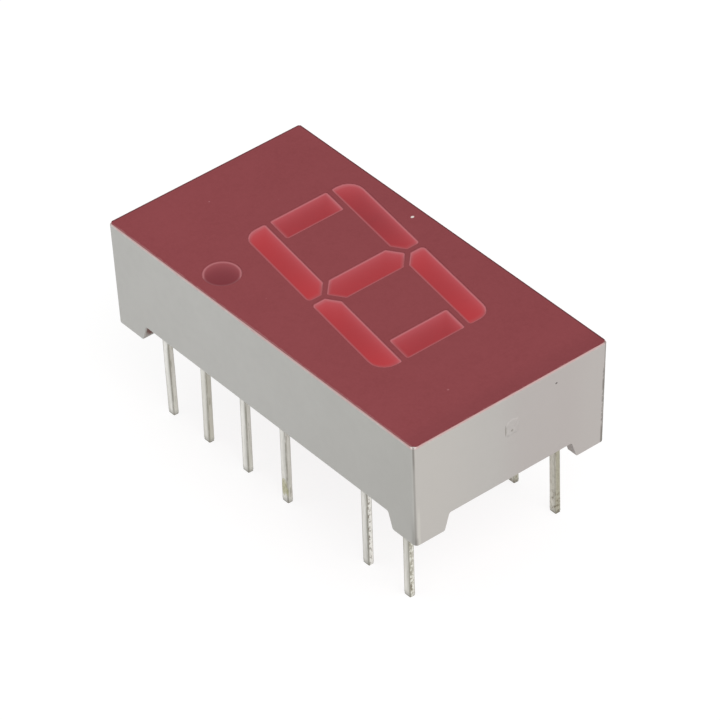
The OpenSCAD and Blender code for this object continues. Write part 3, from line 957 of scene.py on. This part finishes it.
turned = np.linspace(0, 2 * math.pi, AROUND, endpoint=False)
section_x, section_y = rounded(turned - BUNCHED * np.sin(4 * turned), POWER)
near_x = (np.abs(section_x) - 0.64) / 0.20
near_y = np.where(section_y > 0, (section_y - 0.28) / 0.50, (-section_y - 0.72) / 0.18)
section_corner = np.clip(np.minimum(near_x, near_y), 0, 1)
print("points round a pin:", AROUND)

# %% [markdown]
# Down a pin, the middle and the half sizes of the section run straight from the tip to where
# its taper ends, and on to the case. The coat's thickness wanders along the pin, and at the
# tip a blunt drop has gathered. Four pins are tarnished, each in its own measure, and on the
# two pins of the -X row, behind the case, this dulling is also painted shade.

# %% Solder coats
# The two -X pins are dulled partly as painted shade for the dark surroundings they reflect.
TARNISH_AND_SHADE = {"lead_1_left": 1.0, "lead_2_left": 0.8, "anode_lead_right": 0.45, "lead_9_right": 0.40}
CLEAN = 0.05
COAT_T, COAT_SWING = 0.010 * MM, 0.45
DROP, DROP_FADE = 0.032 * MM, 0.05 * MM
TIP_BELOW = 0.003 * MM
WAVE_LENGTHS = (0.9, 0.43, 0.21, 0.6)
TAPER_RINGS, SHAFT_RINGS = 7, 36
INTO_RESIN = 0.08 * MM


def solder_coat(name, row, seed):
    """Rings at chosen heights. Half size = that of the pin, plus a coat
    t * (1 + swing * mean of sin(z / w + phase)) and a drop * exp(-z / fade) at the tip."""
    neck_z = row[row[:, 2] > 2 * NEARLY, 2].min()
    tip = slice_box(row, -NEARLY, NEARLY)
    neck = slice_box(row, neck_z - NEARLY, neck_z + NEARLY)
    middle = np.stack([tip[0], neck[0], root_box(row)[0]])
    half = np.stack([tip[1], neck[1], neck[1]])
    knots = np.array([0.0, neck_z, RESIN_Z + INTO_RESIN])
    taper = neck_z * np.linspace(0, 1, TAPER_RINGS) ** 1.4
    z = np.concatenate([taper, np.linspace(neck_z, knots[2], SHAFT_RINGS)[1:]])
    z[0] = -TIP_BELOW
    centre = np.stack([np.interp(z, knots, middle[:, k]) for k in range(2)], -1)
    size = np.stack([np.interp(z, knots, half[:, k]) for k in range(2)], -1)
    phases = np.random.default_rng(seed).uniform(0, 2 * math.pi, len(WAVE_LENGTHS))
    wander = sum(np.sin(z / (w * MM) + p) for w, p in zip(WAVE_LENGTHS, phases))
    blunt = DROP * np.exp(-np.maximum(z, 0.0) / DROP_FADE)
    wander = wander / len(WAVE_LENGTHS)
    grown = size + (COAT_T * (1.0 + COAT_SWING * wander) + blunt)[:, None]
    x = centre[:, :1] + grown[:, :1] * section_x
    y = centre[:, 1:] + grown[:, 1:] * section_y
    rings = np.dstack([x, y, np.broadcast_to(z[:, None], x.shape)])
    corner = np.broadcast_to(section_corner, x.shape)
    tarnish = np.full(x.shape, TARNISH_AND_SHADE.get(name, CLEAN))
    start, end = [*centre[0], z[0]], [*centre[-1], z[-1]]
    return shell(f"solder_{name}", rings, start, end, {"corner": corner, "tarnish": tarnish})


print("tarnished pins:", sorted(TARNISH_AND_SHADE))

# %% [markdown]
# The solder is the tinned metal again, with a darker line at the corners that is partly
# painted reflection, the dull olive of the tarnished pins, which on the -X row is also painted
# shade, and dark-edged grey tips. One pin has a yellow-green stain of old flux with burnt
# specks in it, and another a bright upright stripe.

# %% Solder material
solder, edge_on = tinned_finish("solder")
corner, tarnish = solder.kept("corner"), solder.kept("tarnish")
broken = fade(solder.clouds(0.5, 0.5, (1.0, 1.0, 0.35)), 0.18, 0.52)
# Darker line at the corners: thin solder, and painted reflection of the rounded metal corner.
solder.paint(times(corner, broken), rgb(0.20, 0.19, 0.15), 0.80)
dull_share = calc("ADD", 0.50, times(edge_on, 0.45))
solder.paint(times(tarnish, dull_share), rgb(0.42, 0.40, 0.31))
solder.paint(solder.along("z", 0.30, 0.02), rgb(0.28, 0.27, 0.24), 0.50)
solder.paint(solder.along("z", 0.06, 0.01), rgb(0.14, 0.12, 0.09), 0.55)
flux = solder.stain((3.95, 0.0, 0.70), (0.14, 0.26, 0.50), 1.2)
solder.paint(flux, rgb(0.43, 0.42, 0.25), 0.75)
burnt = fade(solder.clouds(0.13, 0.45), 0.52, 0.62)
solder.paint(times(flux, burnt), rgb(0.17, 0.15, 0.08), 0.80)
# A bright upright stripe on one pin, kept off its corners.
bright_stripe = solder.stain((3.8, 5.32, 2.10), (0.30, 0.12, 3.6), 0.3)
off_corner = calc("SUBTRACT", 1.0, corner)
solder.paint(times(bright_stripe, off_corner), rgb(0.98, 0.97, 0.93), 0.60)
print("solder: corners, tips and flux done")

# %% [markdown]
# The +Y faces of the two end pins on the +X side have a painted highlight on their outer part,
# are scorched in specks on their inner part and have painted shade at the outer edge, and the
# last has an oily film with bright beads in it. Dark spots cover the most tarnished pins,
# mostly low down.

# %% Solder on the end pins
SCORCH = rgb(0.15, 0.12, 0.08)

speckle = solder.clouds(0.11, 0.3, (1.0, 1.0, 0.7))
facing_end = fade(solder.outward("Y"), 0.55, 0.95)
at_end = times(solder.along("y", 4.0, 4.5), solder.along("x", 0, 1), facing_end)
oily = times(at_end, solder.along("y", 6.0, 6.5))
solder.paint(oily, rgb(0.50, 0.49, 0.33), 0.22)
solder.paint(times(oily, fade(speckle, 0.49, 0.41)), rgb(0.95, 0.95, 0.90), 0.75)
inner_part = solder.along("x", 3.72, 3.92)
not_inner = calc("SUBTRACT", 0.95, inner_part, clamp=True)
off_edge = solder.along("x", 3.71, 3.76)
# Painted highlight on the outer part of the +Y faces.
solder.paint(times(at_end, not_inner, off_edge), rgb(0.97, 0.96, 0.90), 0.45)
outer_edge = solder.along("x", 3.76, 3.71)
# Painted shade at the outer edge of the +Y faces.
solder.paint(times(at_end, outer_edge), rgb(0.36, 0.35, 0.31), 0.50)
mostly_inner = calc("ADD", 0.12, inner_part, clamp=True)
scorched = times(at_end, fade(speckle, 0.50, 0.57), mostly_inner)
solder.paint(scorched, SCORCH, 0.85)
low_on_pin = calc("ADD", 0.30, solder.along("z", 1.20, 0.70), clamp=True)
very_dull = fade(tarnish, 0.6, 0.9)
spots = fade(speckle, 0.49, 0.58)
solder.paint(times(very_dull, low_on_pin, spots), SCORCH, 0.75)
SOLDER = solder.done()

for seed, (name, row) in enumerate(pins):
    mesh = solder_coat(name, row, seed)
    piece(mesh.name, mesh, SOLDER)
print("solder coats:", len(pins))

# %% [markdown]
# ## Resin on the underside
# The resin is poured in from behind. It climbs a little at the walls and at every pin, and
# sinks in the middle as it cures, and that curved edge shows it was once liquid. It could be
# sculpted, but the climb follows a simple rule. So the piece is a height over a plain grid,
# which changes with the distance to the nearest wall or pin.

# %% Underside skin
floor_of_resin = loose[loose[:, 2] < RESIN_Z + 0.002 * MM]
hollow = np.abs(floor_of_resin[:, :2]).max(0)
OVERLAP, LID_ABOVE = 0.02 * MM, 0.06 * MM
WALL_CLIMB, WALL_REACH = 0.11 * MM, 0.16 * MM
PIN_CLIMB, PIN_REACH = 0.13 * MM, 0.10 * MM
SINK, SINK_REACH = 0.05 * MM, 0.9 * MM
WAVE = 0.012 * MM

grid_x = np.linspace(-1, 1, 111)[None, :] * (hollow[0] + OVERLAP)
grid_y = np.linspace(-1, 1, 231)[:, None] * (hollow[1] + OVERLAP)
to_wall = np.minimum(hollow[0] - np.abs(grid_x), hollow[1] - np.abs(grid_y))
to_wall = np.maximum(to_wall, 0.0)
roots = np.array([np.concatenate(root_box(row)) for _, row in pins])
out_x = np.maximum(np.abs(grid_x[..., None] - roots[:, 0]) - roots[:, 2], 0.0)
out_y = np.maximum(np.abs(grid_y[..., None] - roots[:, 1]) - roots[:, 3], 0.0)
to_pin = np.hypot(out_x, out_y).min(-1)
waves = np.sin(grid_x / (1.3 * MM) + 1.0) * np.sin(grid_y / (1.9 * MM) + 0.4)
under_z = (
    RESIN_Z + SINK * (1 - np.exp(-to_wall / SINK_REACH)) + WAVE * waves
    - WALL_CLIMB * np.exp(-to_wall / WALL_REACH) - PIN_CLIMB * np.exp(-to_pin / PIN_REACH)
)
print("resin skin from", round(under_z.min() / MM, 3), "to", round(under_z.max() / MM, 3), "mm")

# %% [markdown]
# The grid's rows become the rings of a flat closed shell: the row itself, and two corners
# above it, inside the resin, that bring the ring back to its start.

# %% Underside skin, closed
rows = np.dstack(np.broadcast_arrays(grid_x, grid_y, under_z))
lid = rows[:, [-1, 0]].copy()
lid[..., 2] = RESIN_Z + SINK + LID_ABOVE
rings = np.concatenate([rows, lid], axis=1)
under_mesh = shell("underside_skin", rings, rings[0].mean(0), rings[-1].mean(0))
piece("underside_skin", under_mesh, RESIN)
print("underside skin:", len(under_mesh.polygons), "faces")

# %% [markdown]
# ## The gate mark
# Plastic enters the mould through a small gate, and where the moulding is broken off its
# runner a rough patch stays. It sits in the middle of the +Y end. A Bump could suggest it,
# but only a true mound has a shadow line at its edge. Its outline is a superellipse, its top
# is uneven, and it is laid on the slope of the wall.

# %% Gate mark
GATE = np.array([-0.05, 7.58]) * MM
GATE_HALF = np.array([0.36, 0.38]) * MM
GATE_RISE, GATE_ROUGH = 0.016 * MM, 0.45
GATE_BURIED = 0.02 * MM
SHOULDER = 0.84


def gate_mark():
    """Rings shrink from the outline to the middle: the height over the wall rises in a short
    step to a plateau, which a few sine waves roughen."""
    turn = np.linspace(0, 2 * math.pi, 64, endpoint=False)
    scale = np.array([1.0, 0.97, 0.92, SHOULDER, 0.74, 0.62, 0.48, 0.32, 0.16])[:, None, None]
    ragged = 1.0 + 0.04 * np.sin(5 * turn + 0.7) + 0.03 * np.sin(9 * turn)
    at = GATE + rounded(turn, 0.5).T * GATE_HALF * scale * ragged[None, :, None]
    x, z = at[..., 0], at[..., 1]
    rise = 1.0 - np.clip((scale[..., 0] - SHOULDER) / (1.0 - SHOULDER), 0, 1) ** 2
    bumps = np.sin(x / (0.055 * MM) + 1.3) * np.sin(z / (0.07 * MM))
    bumps = bumps + 0.6 * np.sin((x + z) / (0.035 * MM))
    wall_y = HALF_L - (BEVEL_Z - z) * WALL_SLOPE
    rings = np.dstack([x, wall_y + GATE_RISE * rise * (1.0 + GATE_ROUGH * bumps), z])
    buried = rings[:1].copy()
    buried[..., 1] -= GATE_BURIED
    rings = np.concatenate([buried, rings])
    return shell("gate_mark", rings, buried[0].mean(0), rings[-1].mean(0))


gate_mesh = gate_mark()
piece("gate_mark", gate_mesh, CASE_PLASTIC)
print("gate mark:", len(gate_mesh.polygons), "faces")

# %% [markdown]
# ## Studio
# The backdrop is white, but one world bright enough to look white would drown the part in
# light. So the world has two strengths: what the camera and mirror-like surfaces see is pure
# white, and what lights the part is dimmer. The Light Path node tells which ray is asking.

# %% World
def seen_directly(tree):
    """1 for camera, glossy and transmission rays, and 0 for the rays that carry light."""
    rays = node(tree, "LightPath").outputs
    shiny = calc("MAXIMUM", rays["Is Glossy Ray"], rays["Is Transmission Ray"])
    return calc("MAXIMUM", rays["Is Camera Ray"], shiny)


AMBIENT = 0.62
world = bpy.data.worlds.new("studio")
tree = empty_tree(world)
ambient = node(tree, "Background", {"Color": rgb(1.0, 0.995, 0.985), "Strength": AMBIENT})
backdrop = node(tree, "Background", {"Color": rgb(1, 1, 1), "Strength": 1.0})
either = node(tree, "MixShader", {0: seen_directly(tree), 1: ambient, 2: backdrop})
node(tree, "OutputWorld", {"Surface": either})
bpy.context.scene.world = world
print("ambient light", AMBIENT)

# %% [markdown]
# Two wide suns stand for the softboxes. Area lamps would do, but leave a bright pool on the
# floor. A sun gives the same light everywhere, and a large angle makes the soft shadows of a
# big lamp close by. The key comes from above and the +Y side, the fill from the +X side.

# %% Lamps
def soft_sun(name, strength, color, towards, angle):
    """A sun whose light comes from a direction, with the angular width of a softbox."""
    data = bpy.data.lights.new(name, "SUN")
    data.energy = strength
    data.color = color
    data.angle = math.radians(angle)
    lamp = put(name, data)
    lamp.matrix_world = Vector(towards).to_track_quat("Z", "Y").to_matrix().to_4x4()
    return lamp


soft_sun("key_lamp", 1.26, (1.0, 0.955, 0.95), (0.12, 0.84, 1.0), 50)
soft_sun("fill_lamp", 0.32, (0.98, 1.0, 0.99), (1.0, -0.50, 0.20), 60)

# %% [markdown]
# The floor is a plain pale sheet. To the camera it shows mostly as white, with a weaker share
# of real shading on top, which keeps the part's shadow. To the light it is an ordinary matt
# surface that throws light back up under the case. From below it lets the view through.

# %% Floor
floor_mesh = bpy.data.meshes.new("floor")
floor_mesh.from_pydata([(-3, -3, 0), (3, -3, 0), (3, 3, 0), (-3, 3, 0)], [], [(0, 1, 2, 3)])
floor = put("floor", floor_mesh)

paper = bpy.data.materials.new("floor_paper")
tree = empty_tree(paper)
seen = seen_directly(tree)
paper_color = blend(seen, rgb(0.58, 0.58, 0.57), rgb(0.22, 0.22, 0.22))
matt = node(tree, "BsdfDiffuse", {"Color": paper_color})
glow = node(tree, "Emission", {"Color": rgb(1, 1, 1), "Strength": calc("MULTIPLY", seen, 0.84)})
sheet = node(tree, "AddShader", {0: matt, 1: glow})
see_through = node(tree, "BsdfTransparent")
backside = node(tree, "NewGeometry").outputs["Backfacing"]
side = node(tree, "MixShader", {0: backside, 1: sheet, 2: see_through})
node(tree, "OutputMaterial", {"Surface": side})
floor_mesh.materials.append(paper)
bpy.context.scene.view_settings.view_transform = "Standard"
print("floor laid")
